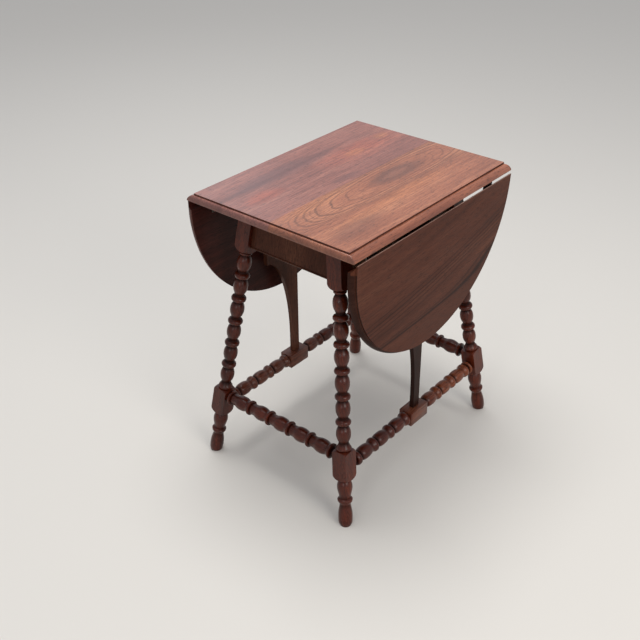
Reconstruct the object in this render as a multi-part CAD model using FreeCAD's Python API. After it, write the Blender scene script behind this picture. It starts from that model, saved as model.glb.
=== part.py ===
"""Drop-leaf side table with rule-jointed leaves, turned splayed legs and swinging leaf supports.

Millimetres. X runs across the table, from the left leaf to the right leaf. Y runs along the hinges.
Z is up, and the origin is on the floor under the middle of the top. The leaves hang down.
"""
import FreeCAD
import Part
import os
from math import asin, cos, pi, radians, sin, sqrt
from FreeCAD import Placement, Rotation, Vector

# Top
top_height = 635.0
top_thickness = 16.0
top_half_width = 193.0          # middle to the quirk line over each hinge pin
top_half_length = 263.0
board_joint_x = 7.0             # glue line between the two boards of the top

# Edge moulding of the top's ends and of the leaves' curved edges
quirk_depth = 3.8
moulding_width = 6.9
moulding_steps = 2              # straight steps that follow the moulding's quarter ellipse

# Rule joint
ovolo_radius = 15.0
cove_clearance = 1.0            # between the ovolo and the leaf's cove
lip_clearance = 0.8             # between the quirk line and the leaf's lip

# Leaves
leaf_overhang = 0.5             # past the top at each end
leaf_straight = 20.0            # straight part of the outline beside the hinge pins
leaf_bow = 273.0                # depth of the half ellipse beyond the straight part
right_leaf_lean = 2.6           # degrees that the hanging right leaf leans in under the top

# Legs, measured along their own axis from the floor
leg_square = 34.5
leg_inset_x = 86.1              # leg axis at the underside of the top, in from the top's edge
leg_inset_y = 83.5
leg_spread_x = 83.5             # leg axis at the floor, out from where it meets the underside
leg_spread_y = 77.5
block_start = 122.0             # lower square block
block_end = 168.0
beads_start = 183.0
beads_end = 516.6
head_start = 530.0              # square head that holds the aprons and rails
leg_bead_count = 6
bead_radius = 14.9
ring_radius = 15.8
neck_radius = 10.6
collar_radius = 15.5            # ring on the lower block
collar_width = 7.0
head_bead_radius = 13.2         # small bead under the head
foot_radius = 14.9              # ball over the floor
foot_neck_radius = 11.4
foot_bead_radius = 15.9         # bead under the lower block
pad_radius = 12.0               # flat under the foot

# Aprons and rails
apron_height = 97.0
apron_thickness = 16.0
apron_setback = 10.0            # from the outer face of the leg
apron_bead_radius = 2.0
tenon_thickness = 8.0
tenon_shoulder = 10.0           # under and over a tenon
apron_tenon_length = 20.0
tenon_gap = 0.15                # round a tenon in its mortise
tenon_wall = 1.5                # between the rail tenon and the apron tenon

# Stretchers
end_stretcher_z = 153.5
side_stretcher_z = 130.5
end_bead_radius = 16.0
end_ring_radius = 16.5
end_neck_radius = 11.3
side_bead_radius = 15.0
side_ring_radius = 15.7
side_start_radius = 12.0        # ring beside the front leg
side_neck_radius = 10.6
stretcher_tenon_radius = 7.5
stretcher_tenon_length = 20.0
end_stretcher_bead_count = 5
end_run_inset = 12.0            # from the leg to the beads of an end stretcher
end_flange_inset = 8.5          # from the leg to the ring beside it
middle_block_width = 32.4
middle_block_half_length = 30.3
side_stretcher_bead_count = 3   # on each side of the middle block
side_run_inset = 26.5
side_flange_inset = 10.0
block_ring_gap = 6.0            # from the middle block to the middle of the ring in front of it
block_groove_width = 2.0

# Leaf supports
support_thickness = 10.0
support_back = 11.0             # behind the pivot
support_stile = 9.0             # in front of the pivot
support_reach = 86.0            # from the pivot to the outer end
support_stile_height = 42.3
support_end_height = 208.0
support_foot_gap = 0.4
support_head_gap = 0.6
pivot_pin_radius = 3.0
pivot_pin_seat = 10.0           # length of a pin in the top or in the block
pivot_pin_reach = 14.0          # length of a pin in the support
pin_seat_gap = 0.05
pin_running_gap = 0.25
pin_end_gap = 0.5

# Hinges
hinge_inset = 69.0              # middle of a hinge from the end of the top
hinge_width = 33.0
hinge_plate = 1.5
top_plate_length = 28.0
leaf_plate_length = 40.0
knuckle_radius = 2.5
hinge_pin_radius = 1.0
hinge_pin_gap = 0.1
knuckle_gap = 0.3
hinge_relief = 0.3              # thinner bridge of the leaf's plate, clear of the ovolo

# Glue blocks
glue_block_length = 40.0
glue_block_size = 18.0
end_glue_block_share = 0.42     # middle of a block, as a share of the way out to the leg's axis
side_glue_block_share = 0.474

overrun = 60.0                  # every cut runs this far past what it cuts

# Places worked out from the sizes above
underside = top_height - top_thickness
hinge_x = top_half_width
hinge_z = top_height - quirk_depth - ovolo_radius
pin_drop = underside - hinge_z
leaf_face = quirk_depth + ovolo_radius
moulding_depth = top_thickness - quirk_depth
leaf_half_length = top_half_length + leaf_overhang
hinge_y = top_half_length - hinge_inset
leg_top_x = top_half_width - leg_inset_x
leg_top_y = top_half_length - leg_inset_y
foot_x = leg_top_x + leg_spread_x
foot_y = leg_top_y + leg_spread_y
splay_x = leg_spread_x / underside
splay_y = leg_spread_y / underside
half_square = leg_square / 2
apron_bottom = underside - apron_height
side_stretcher_x = foot_x - splay_x * side_stretcher_z
end_stretcher_y = foot_y - splay_y * end_stretcher_z
support_x = side_stretcher_x
end_glue_block_x = leg_top_x * end_glue_block_share
side_glue_block_y = leg_top_y * side_glue_block_share
pin_bore_radius = pivot_pin_radius + pin_seat_gap

# Shapes of the turnings
round_flats = 12                # flat sides round every turned or drilled shape, to keep them light
corner_share = sqrt(2 * pi / round_flats / sin(2 * pi / round_flats))
bead_station_shares = (0.135, 0.378, 0.594, 0.782)
bead_swell_shares = (0, 1, 1, 0)
foot_shoulder_share = 0.7       # how far the bead under the block swells between its neck and its crest
ring_station_share = 0.036      # half the width of a ring's crest, as a share of the pitch
corner_radius = half_square * sqrt(2) / cos(pi / round_flats)
foot_station_shares = (0.068, 0.195, 0.38, 0.458, 0.492, 0.522, 0.585, 0.675, 0.771, 0.85)


def box_between(low, high):
    """Box from its low corner to its high corner."""
    size = high - low
    return Part.makeBox(size.x, size.y, size.z, low)


def ellipse_arc(centre, first, second, start, end):
    """Arc of the ellipse centre + first cos t + second sin t, with t in degrees."""
    if first.Length >= second.Length:
        ellipse = Part.Ellipse(centre + first, centre + second, centre)
        shift = 0
    else:
        ellipse = Part.Ellipse(centre + second, centre - first, centre)
        shift = pi / 2
    return Part.Arc(ellipse, radians(start) - shift, radians(end) - shift).toShape()


def line(start, end):
    return Part.LineSegment(start, end).toShape()


def prism(edges, along):
    """Solid of a closed outline, pushed along a vector."""
    return Part.Face(Part.Wire(edges)).extrude(along)


def polygon_prism(points, along):
    return Part.Face(Part.makePolygon(points + points[:1])).extrude(along)


def mirror_x(shape):
    return shape.mirror(Vector(0, 0, 0), Vector(1, 0, 0))


def mirror_y(shape):
    return shape.mirror(Vector(0, 0, 0), Vector(0, 1, 0))


def turned(stations, place):
    """Turned solid through (station, radius) pairs along its own Z, then put in place.

    Every section is a regular polygon as large as the circle that it stands for.
    """
    turn = 2 * pi / round_flats
    sections = []
    for station, radius in stations:
        corner = radius * corner_share
        angles = [turn * (side + 1 / 2) for side in range(round_flats)]
        sections.append([Vector(corner * cos(angle), corner * sin(angle), station) for angle in angles])
    faces = [Part.Face(Part.makePolygon(section + section[:1])) for section in (sections[0], sections[-1])]
    for low, high in zip(sections, sections[1:]):
        for side in range(round_flats):
            corners = [low[side - 1], low[side], high[side], high[side - 1], low[side - 1]]
            faces.append(Part.Face(Part.makePolygon(corners)))
    solid = Part.makeSolid(Part.makeShell(faces))
    solid.Placement = place
    return solid


def along(axis, start=Vector(0, 0, 0)):
    """Place of a turned shape that runs along an axis from a point."""
    return Placement(start, Rotation(Vector(0, 0, 1), axis))


def bead(start, pitch, crest, neck):
    """Stations of one bead between two rings. It swells slowly from its start and ends in a short round."""
    stations = []
    for share, swell in zip(bead_station_shares, bead_swell_shares):
        stations.append((start + share * pitch, neck + swell * (crest - neck)))
    return stations


def ring(middle, pitch, radius):
    """Stations of a ring's narrow crest."""
    half_crest = ring_station_share * pitch
    return [(middle - half_crest, radius), (middle + half_crest, radius)]


def beads(start, pitch, count, crest, rim, neck):
    """Stations of beads with a ring between each two, from start upwards."""
    stations = bead(start, pitch, crest, neck)
    for index in range(1, count):
        middle = start + index * pitch
        stations += ring(middle, pitch, rim)
        stations += bead(middle, pitch, crest, neck)
    return stations


# Top

def top_side_outline():
    """Outline across the top, with the ovolo of the rule joint along both sides."""
    ovolo_foot = asin(pin_drop / ovolo_radius)
    ovolo_middle = (pi / 2 + ovolo_foot) / 2
    edges = []
    for side in (1, -1):
        pin = Vector(side * hinge_x, 0, hinge_z)
        crest = pin + Vector(0, 0, ovolo_radius)
        middle = pin + Vector(side * ovolo_radius * cos(ovolo_middle), 0, ovolo_radius * sin(ovolo_middle))
        foot = pin + Vector(side * ovolo_radius * cos(ovolo_foot), 0, pin_drop)
        edges.append(line(crest + Vector(0, 0, quirk_depth), crest))
        edges.append(Part.Arc(crest, middle, foot).toShape())
    right_foot = edges[1].Vertexes[-1].Point
    left_foot = edges[3].Vertexes[-1].Point
    edges.append(line(right_foot, left_foot))
    edges.append(line(Vector(hinge_x, 0, top_height), Vector(-hinge_x, 0, top_height)))
    return Part.__sortEdges__(edges)


def top_end_outline():
    """Outline along the top, with the moulding at both ends."""
    half = [(top_half_length - moulding_width, top_height)]
    half += [(top_half_length - inset, underside + rise) for inset, rise in moulding()]
    points = [Vector(0, out, height) for out, height in half]
    return points + [Vector(0, -out, height) for out, height in reversed(half)]


def moulding():
    """Points of the edge moulding under its quirk, as (inset from the edge, rise over the lower face)."""
    turns = [step / moulding_steps * pi / 2 for step in range(moulding_steps + 1)]
    return [(moulding_width * (1 - sin(turn)), moulding_depth * cos(turn)) for turn in turns]


def make_top_boards():
    across = prism(top_side_outline(), Vector(0, 2 * (top_half_length + overrun), 0))
    across.translate(Vector(0, -top_half_length - overrun, 0))
    lengthways = polygon_prism(top_end_outline(), Vector(2 * (top_half_width + overrun), 0, 0))
    lengthways.translate(Vector(-top_half_width - overrun, 0, 0))
    top = across.common(lengthways)
    for side in (1, -1):
        seat_end = underside + pivot_pin_seat + pin_end_gap
        stations = [(underside - overrun, pin_bore_radius), (seat_end, pin_bore_radius)]
        top = top.cut(turned(stations, along(Vector(0, 0, 1), Vector(side * support_x, 0, 0))))
    far = top_half_length + overrun
    reach = top_half_width + overrun
    left_half = box_between(Vector(-reach, -far, 0), Vector(board_joint_x, far, top_height + overrun))
    return {"top_board_left": top.common(left_half), "top_board_right": top.cut(left_half)}


# Leaves. Each is shaped lying level beside the top, then swung down about its hinge pins.

def leaf_outline(inset, height):
    """Closed outline of the right leaf, inset from its edge, at a height over the hinge pins."""
    half = leaf_half_length - inset
    bow = leaf_bow - inset
    centre = Vector(leaf_straight, 0, height)
    edges = [
        line(Vector(lip_clearance, -half, height), Vector(leaf_straight, -half, height)),
        ellipse_arc(centre, Vector(0, -half, 0), Vector(bow, 0, 0), 0, 180),
        line(Vector(leaf_straight, half, height), Vector(lip_clearance, half, height)),
        line(Vector(lip_clearance, half, height), Vector(lip_clearance, -half, height)),
    ]
    return Part.Wire(edges)


def make_level_leaf():
    outlines = [leaf_outline(moulding_width, leaf_face)]
    outlines += [leaf_outline(inset, pin_drop + rise) for inset, rise in moulding()]
    leaf = Part.makeLoft(outlines, True, True)
    cove = Part.makeCylinder(ovolo_radius + cove_clearance, 2 * (leaf_half_length + overrun),
                             Vector(0, -leaf_half_length - overrun, 0), Vector(0, 1, 0))
    return leaf.cut(cove)


def swung_down(shape, side):
    """Takes a shape from beside the level top, with the pin as origin, to the hanging leaf of one side."""
    moved = shape.copy()
    lean = right_leaf_lean if side > 0 else 0
    moved.rotate(Vector(0, 0, 0), Vector(0, 1, 0), 90 + lean)
    moved.translate(Vector(hinge_x, 0, hinge_z))
    return moved if side > 0 else mirror_x(moved)


# Legs

def leg_place(side_x, side_y):
    """Place of a leg's own frame: origin at the floor, Z up the axis, Y square to the end of the table."""
    axis = Vector(-side_x * splay_x, -side_y * splay_y, 1).normalize()
    across = (Vector(1, 0, 0) - axis * axis.x).normalize()
    square = axis.cross(across)
    return Placement(Vector(side_x * foot_x, side_y * foot_y, 0), Rotation(across, square, axis, "ZXY"))


def leg_bar(side_x, side_y, shift=Vector(0, 0, 0)):
    """Square stock of a leg, running past the floor and the top, moved in its own frame."""
    low = Vector(-half_square, -half_square, -overrun) + shift
    high = Vector(half_square, half_square, top_height + overrun) + shift
    bar = box_between(low, high)
    bar.Placement = leg_place(side_x, side_y)
    return bar


def foot_stations():
    """Foot, ring and bead below the lower block."""
    shoulder = foot_neck_radius + (foot_bead_radius - foot_neck_radius) * foot_shoulder_share
    radii = (foot_radius, foot_radius, foot_neck_radius, ring_radius, ring_radius,
             foot_neck_radius, shoulder, foot_bead_radius, shoulder, foot_neck_radius)
    stations = [(-overrun, pad_radius), (0, pad_radius)]
    for share, radius in zip(foot_station_shares, radii):
        stations.append((share * block_start, radius))
    return stations


def leg_stations():
    """Stations up a leg. The two squares are turned wide, so that the stock leaves them square."""
    pitch = (beads_end - beads_start) / leg_bead_count
    stations = foot_stations()
    stations += [(block_start, corner_radius), (block_end, corner_radius)]
    stations += collar(beads_start - collar_width, collar_radius, neck_radius)[:2]
    stations += beads(beads_start, pitch, leg_bead_count, bead_radius, ring_radius, neck_radius)
    stations += collar(beads_end - 5 * collar_width / 4, head_bead_radius, neck_radius)
    stations += [(head_start, corner_radius), (top_height + overrun, corner_radius)]
    return stations


def collar(start, crest, neck):
    """Stations of a narrow bead."""
    return [(start, neck), (start + collar_width / 2, crest), (start + collar_width, neck)]


def make_leg(side_x, side_y):
    place = leg_place(side_x, side_y)
    leg = turned(leg_stations(), place).common(leg_bar(side_x, side_y))
    reach = foot_x + foot_y + overrun
    leg = leg.common(box_between(Vector(-reach, -reach, 0), Vector(reach, reach, underside)))
    leg = leg.cut(end_tenon_core(tenon_gap, side_y))
    leg = leg.cut(side_tenon_core(tenon_gap, side_x))
    leg = leg.cut(stretcher_bore(side_x, side_y, True))
    return leg.cut(stretcher_bore(side_x, side_y, False))


def stretcher_bore(side_x, side_y, at_end):
    """Blind bore in a leg's lower block, as deep as the stretcher's tenon and its gap."""
    radius = stretcher_tenon_radius + tenon_gap
    if at_end:
        place = along(Vector(side_x, 0, 0), Vector(0, side_y * end_stretcher_y, end_stretcher_z))
        reach = end_stretcher_reach() + tenon_gap
    else:
        place = along(Vector(0, side_y, 0), Vector(side_x * side_stretcher_x, 0, side_stretcher_z))
        reach = side_stretcher_reach() + tenon_gap
    return turned([(0, radius), (reach, radius)], place)


# Aprons under the ends of the top and rails under its sides

def leaning_board(near, far, low, high, half_length, at_end):
    """Board that leans with the legs, between two distances out from the legs' axes.

    At an end of the table it runs along X on the -Y side, and at a side it runs along Y on the +X side.
    """
    splay = splay_y if at_end else splay_x
    foot = foot_y if at_end else foot_x
    slope = sqrt(1 + splay * splay)
    corners = []
    for distance, height in ((near, low), (far, low), (far, high), (near, high)):
        corners.append((foot - splay * height + distance * slope, height))
    if at_end:
        points = [Vector(-half_length, -out, height) for out, height in corners]
        return polygon_prism(points, Vector(2 * half_length, 0, 0))
    points = [Vector(out, -half_length, height) for out, height in corners]
    return polygon_prism(points, Vector(0, 2 * half_length, 0))


def board_faces():
    """Distances of a board's inner and outer face from the legs' axes."""
    outer = half_square - apron_setback
    return outer - apron_thickness, outer


def tenon_faces(grow):
    inner, outer = board_faces()
    middle = (inner + outer) / 2
    return middle - tenon_thickness / 2 - grow, middle + tenon_thickness / 2 + grow


def rail_tenon_length():
    """The rail's tenon stops short of the apron's tenon."""
    inner, outer = tenon_faces(tenon_gap)
    return half_square + inner - tenon_wall


def tenon_core(grow, at_end):
    """Thin core of an apron or rail that makes the tenons at both ends."""
    inner, outer = tenon_faces(grow)
    low = apron_bottom + tenon_shoulder - grow
    high = underside - tenon_shoulder + grow
    middle_height = (low + high) / 2
    if at_end:
        half_length = foot_x - splay_x * middle_height + half_square
        depth = apron_tenon_length + grow
    else:
        half_length = foot_y - splay_y * middle_height + half_square
        depth = rail_tenon_length() + grow
    core = leaning_board(inner, outer, low, high, half_length, at_end)
    for side in (1, -1):
        if at_end:
            core = core.cut(leg_bar(side, -1, Vector(side * depth, 0, 0)))
        else:
            core = core.cut(leg_bar(1, side, Vector(0, side * depth, 0)))
    return core


def end_tenon_core(grow, side_y):
    core = tenon_core(grow, True)
    return mirror_y(core) if side_y > 0 else core


def side_tenon_core(grow, side_x):
    core = tenon_core(grow, False)
    return mirror_x(core) if side_x < 0 else core


def make_front_apron():
    inner, outer = board_faces()
    half_length = foot_x - splay_x * (apron_bottom + underside) / 2
    board = leaning_board(inner, outer, apron_bottom, underside, half_length, True)
    bead_y = foot_y - splay_y * (apron_bottom + apron_bead_radius) + outer * sqrt(1 + splay_y * splay_y)
    bead_end = Vector(-half_length, -bead_y, apron_bottom + apron_bead_radius)
    board = board.fuse(Part.makeCylinder(apron_bead_radius, 2 * half_length, bead_end, Vector(1, 0, 0)))
    for side in (1, -1):
        board = board.cut(leg_bar(side, -1))
    return board.fuse(tenon_core(0, True)).removeSplitter()


def make_right_rail():
    inner, outer = board_faces()
    half_length = foot_y - splay_y * (apron_bottom + underside) / 2
    board = leaning_board(inner, outer, apron_bottom, underside, half_length, False)
    for side in (1, -1):
        board = board.cut(leg_bar(1, side))
    return board.fuse(tenon_core(0, False)).removeSplitter()


# Stretchers

def end_stretcher_face():
    """Distance from the middle to where the stretcher's axis enters a leg."""
    return foot_x - splay_x * end_stretcher_z - half_square


def side_stretcher_face():
    return foot_y - splay_y * side_stretcher_z - half_square


def end_stretcher_reach():
    return end_stretcher_face() + stretcher_tenon_length


def side_stretcher_reach():
    return side_stretcher_face() + stretcher_tenon_length


def stretcher_end(crest, reach, rim, neck):
    """Ring beside the leg, then the neck that runs into the leg's bore."""
    stations = collar(crest - collar_width / 2, rim, neck)
    return stations[:2] + [(stations[2][0], stretcher_tenon_radius), (reach, stretcher_tenon_radius)]


def other_way(stations):
    return [(-station, radius) for station, radius in reversed(stations)]


def make_front_stretcher():
    """Stretcher whose beads run from the right leg to the left one."""
    half_run = end_stretcher_face() - end_run_inset
    pitch = 2 * half_run / end_stretcher_bead_count
    last = end_stretcher_face() - end_flange_inset
    end = stretcher_end(last, end_stretcher_reach(), end_ring_radius, end_neck_radius)
    sizes = (pitch, end_stretcher_bead_count, end_bead_radius, end_ring_radius, end_neck_radius)
    stations = other_way(end) + beads(-half_run, *sizes) + end
    return turned(stations, along(Vector(-1, 0, 0), Vector(0, -end_stretcher_y, end_stretcher_z)))


def make_right_stretcher():
    """Stretcher with a square middle block, whose beads all run from the front leg to the back one."""
    block = middle_block_half_length
    run = side_stretcher_face() - block - side_run_inset
    pitch = run / side_stretcher_bead_count
    last = side_stretcher_face() - side_flange_inset
    reach = side_stretcher_reach()
    front_end = -block - block_ring_gap
    sizes = (pitch, side_stretcher_bead_count, side_bead_radius, side_ring_radius, side_neck_radius)
    stations = other_way(stretcher_end(last, reach, side_start_radius, side_neck_radius))
    stations += ring(front_end - run, pitch, side_ring_radius)
    stations += beads(front_end - run, *sizes)
    stations += ring(front_end, pitch, side_ring_radius)
    stations.append((-block - block_groove_width, side_neck_radius))
    stations += beads(block, *sizes)
    stations += ring(block + run, pitch, side_ring_radius)
    stations += stretcher_end(last, reach, side_ring_radius, side_neck_radius)
    centre = Vector(side_stretcher_x, 0, side_stretcher_z)
    stretcher = turned(stations, along(Vector(0, 1, 0), centre))
    half_block = middle_block_width / 2
    half_size = Vector(half_block, block, half_block)
    stretcher = stretcher.fuse(box_between(centre - half_size, centre + half_size))
    top = side_stretcher_z + half_block
    stations = [(top - pivot_pin_seat - pin_end_gap, pin_bore_radius), (top + overrun, pin_bore_radius)]
    return stretcher.cut(turned(stations, along(Vector(0, 0, 1), Vector(support_x, 0, 0))))


# Leaf supports, which swing on pins between the side stretchers and the top

def support_bottom():
    return side_stretcher_z + middle_block_width / 2 + support_foot_gap


def support_top():
    return underside - support_head_gap


def make_right_support():
    bottom = support_bottom()
    top = support_top()
    shoulder = bottom + support_stile_height
    tip = top - support_end_height
    near = support_x - support_thickness / 2
    reach = support_reach - support_stile
    centre = Vector(near, -support_reach, shoulder)
    edges = [
        line(Vector(near, support_back, bottom), Vector(near, support_back, top)),
        line(Vector(near, support_back, top), Vector(near, -support_reach, top)),
        line(Vector(near, -support_reach, top), Vector(near, -support_reach, tip)),
        ellipse_arc(centre, Vector(0, 0, tip - shoulder), Vector(0, reach, 0), 0, 90),
        line(Vector(near, -support_stile, shoulder), Vector(near, -support_stile, bottom)),
        line(Vector(near, -support_stile, bottom), Vector(near, support_back, bottom)),
    ]
    support = prism(edges, Vector(support_thickness, 0, 0))
    radius = pivot_pin_radius + pin_running_gap
    depth = pivot_pin_reach + pin_end_gap
    for start, end in ((bottom - overrun, bottom + depth), (top - depth, top + overrun)):
        bore = turned([(start, radius), (end, radius)], along(Vector(0, 0, 1), Vector(support_x, 0, 0)))
        support = support.cut(bore)
    return support


def make_pivot_pins():
    """Lower and upper pin of the right support."""
    block_top = side_stretcher_z + middle_block_width / 2
    pins = []
    for start in (block_top - pivot_pin_seat, underside - pivot_pin_reach):
        end = start + pivot_pin_seat + pivot_pin_reach
        stations = [(start, pivot_pin_radius), (end, pivot_pin_radius)]
        pins.append(turned(stations, along(Vector(0, 0, 1), Vector(support_x, 0, 0))))
    return pins


# Hinges. Each is drawn with the leaf level and the pin along Y through the origin.

def rod(radius, start, end):
    return turned([(start, radius), (end, radius)], along(Vector(0, 1, 0)))


def knuckle_spans():
    """Ends of the two knuckles of the top's plate, and of the leaf's knuckle between them."""
    half = hinge_width / 2
    third = hinge_width / 6
    outer = ((-half, -third), (third, half))
    middle = (-third + knuckle_gap, third - knuckle_gap)
    return outer, middle


def make_hinge():
    """Top plate, leaf plate and pin, with the leaf's plate level."""
    half = hinge_width / 2
    outer, middle = knuckle_spans()
    low = pin_drop - hinge_plate
    bore = rod(hinge_pin_radius + hinge_pin_gap, -half - overrun, half + overrun)
    top_plate = box_between(Vector(-top_plate_length, -half, low), Vector(0, half, pin_drop))
    top_plate = top_plate.cut(rod(knuckle_radius + knuckle_gap, outer[0][1], outer[1][0]))
    for start, end in outer:
        top_plate = top_plate.fuse(rod(knuckle_radius, start, end))
    leaf_plate = box_between(Vector(0, -half, low), Vector(leaf_plate_length, half, pin_drop))
    bridge = box_between(Vector(0, -half, pin_drop - hinge_relief),
                         Vector(ovolo_radius, half, pin_drop + overrun))
    leaf_plate = leaf_plate.cut(bridge)
    for start, end in outer:
        clearing = rod(knuckle_radius + knuckle_gap, start - knuckle_gap, end + knuckle_gap)
        leaf_plate = leaf_plate.cut(clearing)
    leaf_plate = leaf_plate.fuse(rod(knuckle_radius, *middle))
    pin = rod(hinge_pin_radius, -half, half)
    return top_plate.cut(bore).removeSplitter(), leaf_plate.cut(bore).removeSplitter(), pin


# Glue blocks behind the aprons and rails

def make_glue_block(at_end, middle):
    inner, outer = board_faces()
    block = leaning_board(inner - glue_block_size, inner, underside - glue_block_size, underside,
                          glue_block_length / 2, at_end)
    block.translate(Vector(middle, 0, 0) if at_end else Vector(0, middle, 0))
    return block


def make_parts():
    parts = make_top_boards()
    for side, side_x in (("left", -1), ("right", 1)):
        parts["leaf_" + side] = swung_down(make_level_leaf(), side_x)
    for end, side_y in (("front", -1), ("back", 1)):
        for side, side_x in (("left", -1), ("right", 1)):
            parts["leg_" + end + "_" + side] = make_leg(side_x, side_y)
            parts["glue_block_" + end + "_" + side] = make_glue_block(True, side_x * end_glue_block_x)
            if side_y > 0:
                block = parts["glue_block_" + end + "_" + side]
                parts["glue_block_" + end + "_" + side] = mirror_y(block)
            rail_block = make_glue_block(False, side_y * side_glue_block_y)
            parts["glue_block_" + side + "_" + end] = mirror_x(rail_block) if side_x < 0 else rail_block
    parts["apron_front"] = make_front_apron()
    parts["apron_back"] = mirror_y(parts["apron_front"])
    parts["rail_right"] = make_right_rail()
    parts["rail_left"] = mirror_x(parts["rail_right"])
    parts["stretcher_front"] = make_front_stretcher()
    parts["stretcher_back"] = mirror_y(parts["stretcher_front"])
    parts["stretcher_right"] = make_right_stretcher()
    parts["stretcher_left"] = mirror_x(parts["stretcher_right"])
    parts["support_right"] = make_right_support()
    parts["support_left"] = mirror_x(parts["support_right"])
    lower, upper = make_pivot_pins()
    parts["pivot_pin_lower_right"] = lower
    parts["pivot_pin_upper_right"] = upper
    parts["pivot_pin_lower_left"] = mirror_x(lower)
    parts["pivot_pin_upper_left"] = mirror_x(upper)
    for end, side_y in (("front", -1), ("back", 1)):
        top_plate, leaf_plate, pin = make_hinge()
        for side, side_x in (("left", -1), ("right", 1)):
            for name, piece in (("hinge_top_plate_", top_plate), ("hinge_pin_", pin)):
                fixed = piece.copy()
                fixed.translate(Vector(hinge_x, side_y * hinge_y, hinge_z))
                parts[name + side + "_" + end] = fixed if side_x > 0 else mirror_x(fixed)
            hanging = swung_down(leaf_plate, side_x)
            hanging.translate(Vector(0, side_y * hinge_y, 0))
            parts["hinge_leaf_plate_" + side + "_" + end] = hanging
    return parts


os.makedirs("parts", exist_ok=True)
for name, shape in make_parts().items():
    print(name, len(shape.Solids), shape.isValid(), round(shape.Volume))
    shape.exportStep("parts/" + name + ".step")
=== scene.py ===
# %% [markdown]
# # Drop-leaf side table
#
# This notebook dresses a small drop-leaf side table. Its construction comes from an engineering model:
# two top boards, two half-oval leaves on hidden hinges, four splayed legs, aprons, stretchers and two
# wing supports. The engineering model keeps its round parts faceted, to stay light. Here the turned
# wood becomes round, the mouldings become smooth, and every surface gets a varnished wood or steel
# finish.

# %% Frame and units
import math

import bmesh
import bpy
from mathutils import Matrix, Vector


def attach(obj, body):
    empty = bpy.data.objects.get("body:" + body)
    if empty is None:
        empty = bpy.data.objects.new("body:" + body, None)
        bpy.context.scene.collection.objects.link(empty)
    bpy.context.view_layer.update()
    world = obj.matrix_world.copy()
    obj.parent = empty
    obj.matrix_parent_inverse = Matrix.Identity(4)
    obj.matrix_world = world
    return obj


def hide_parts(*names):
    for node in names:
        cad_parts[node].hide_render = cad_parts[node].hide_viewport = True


MM = 0.001
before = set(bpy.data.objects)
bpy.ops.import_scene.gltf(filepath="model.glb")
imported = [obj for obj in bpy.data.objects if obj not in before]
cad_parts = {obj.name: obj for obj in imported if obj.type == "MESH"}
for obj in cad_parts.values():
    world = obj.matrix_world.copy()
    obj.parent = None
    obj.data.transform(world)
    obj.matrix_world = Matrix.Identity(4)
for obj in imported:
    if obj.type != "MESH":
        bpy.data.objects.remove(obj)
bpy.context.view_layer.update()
SIDES = {"left": -1, "right": 1}
ENDS = {"front": -1, "back": 1}
print(len(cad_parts), "pieces came from the construction")

# %% [markdown]
# ## Sizes that the new pieces share with the construction
#
# A dressed piece has to sit exactly where the engineering piece is, so the same few sizes are repeated
# here in millimetres. X runs across the table, Y along the hinges and Z up, from the floor under the
# middle of the top. The leaf sizes are measured from the line of the hinge pins, and each leaf hangs
# with its own lean.

# %% Sizes
TOP_HEIGHT = 635.0
THICKNESS = 16.0
UNDERSIDE = TOP_HEIGHT - THICKNESS
TOP_HALF_WIDTH = 193.0
TOP_HALF_LENGTH = 263.0
BOARD_JOINT = 7.0
QUIRK = 3.8
OVOLO = 15.0
COVE = 16.0
LIP = 0.8
PIN_HEIGHT = TOP_HEIGHT - QUIRK - OVOLO
PIN_DROP = UNDERSIDE - PIN_HEIGHT
MOULD_WIDTH = 6.9
MOULD_DEPTH = THICKNESS - QUIRK
LEAF_HALF_LENGTH = 263.5
LEAF_STRAIGHT = 20.0
LEAF_BOW = 273.0
LEAN = {"left": 0.0, "right": 2.6}
HINGE_Y = 194.0
HINGE_PLATE = 1.5

LEG_SQUARE = 34.5
FOOT = (190.4, 257.0)
LEG_TOP = (106.9, 179.5)
SPLAY = ((FOOT[0] - LEG_TOP[0]) / UNDERSIDE, (FOOT[1] - LEG_TOP[1]) / UNDERSIDE)
END_STRETCHER_HEIGHT = 153.5
SIDE_STRETCHER_HEIGHT = 130.5

# %% [markdown]
# ## A few bench tools
#
# Most pieces are made the same way: build a mesh, give it crisp and soft edges in the right places, and
# hand it to the frame. The angle between two faces decides: a turned curve stays soft, and the arris of
# a square stays crisp.

# %% Bench tools
CRISP = math.radians(32)
WELD = 0.002


def finished(bm, name, body, replaced, material):
    """Turns a bmesh in millimetres into a named piece that rides on a body of the table."""
    bmesh.ops.remove_doubles(bm, verts=bm.verts, dist=WELD)
    bmesh.ops.recalc_face_normals(bm, faces=bm.faces)
    bmesh.ops.scale(bm, vec=(MM, MM, MM), verts=bm.verts)
    for face in bm.faces:
        face.smooth = True
    for edge in bm.edges:
        edge.smooth = len(edge.link_faces) == 2 and edge.calc_face_angle(math.pi) < CRISP
    mesh = bpy.data.meshes.new(name)
    bm.to_mesh(mesh)
    bm.free()
    mesh.materials.append(material)
    piece = bpy.data.objects.new(name, mesh)
    bpy.context.scene.collection.objects.link(piece)
    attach(piece, body)
    if replaced:
        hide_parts(*replaced)
    return piece


def cut_flat(bm, point, outwards):
    """Planes away all that lies outside a plane, and closes the cut with a flat face."""
    everything = bm.verts[:] + bm.edges[:] + bm.faces[:]
    cut = bmesh.ops.bisect_plane(bm, geom=everything, dist=0.0005, plane_co=point, plane_no=outwards,
                                 clear_outer=True)
    rim = [item for item in cut["geom_cut"] if isinstance(item, bmesh.types.BMEdge)]
    if rim:
        bmesh.ops.holes_fill(bm, edges=rim, sides=0)


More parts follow.
